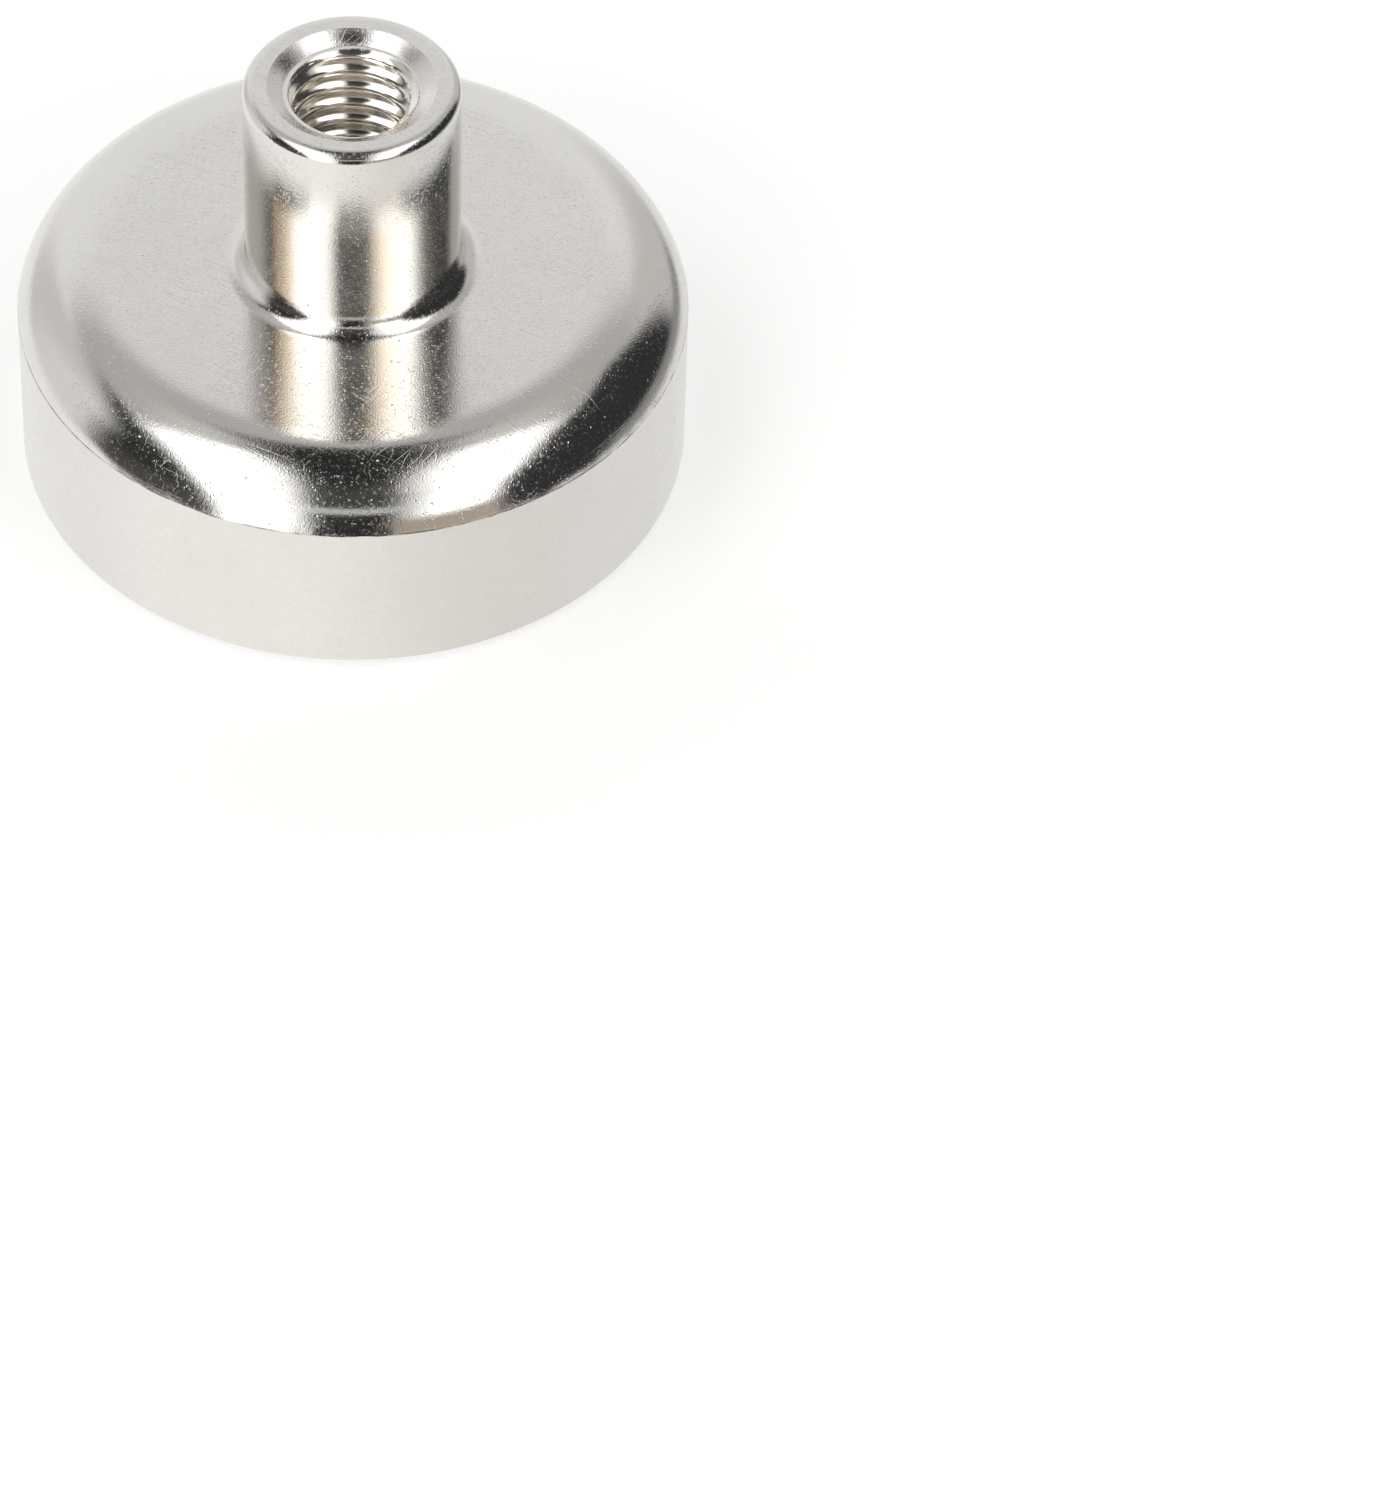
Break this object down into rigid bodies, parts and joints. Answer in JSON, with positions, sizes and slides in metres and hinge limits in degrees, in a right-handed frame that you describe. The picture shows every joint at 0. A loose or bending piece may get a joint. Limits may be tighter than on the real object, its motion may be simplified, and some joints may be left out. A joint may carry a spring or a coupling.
{
  "type": "pot magnet",
  "caption": "Round pot magnet with a threaded boss: a nickel-plated steel cup holds a disc magnet, and a tapped hole in the boss takes a screw, hook or handle.",
  "frame": {"origin": "centre of the clamping face, at the height of the steel cup's rim, which is the lowest point of the part", "axes": "+Z along the axis of the tapped hole, from the clamping face out through the boss; the part is round about +Z, and X and Y are level and otherwise free"},
  "size_m": [0.025, 0.025, 0.0174],
  "materials": {
    "pot_nickel": "satin nickel plating with a fine speckle over forged and turned steel; fine turning marks on the wall, the seat and the rim",
    "magnet_nickel": "satin nickel plating over a tumbled sintered magnet, fine-grained, with soft edges",
    "ring_plastic": "milky natural-coloured moulded plastic, slightly translucent",
    "cured_epoxy": "cured amber-brown adhesive with an uneven, slightly glossy surface"
  },
  "bodies": {
    "root": {"steel_pot": "pot_nickel", "disc_magnet": "magnet_nickel", "spacer_ring": "ring_plastic", "epoxy_bond": "cured_epoxy"}
  },
  "joints": []
}
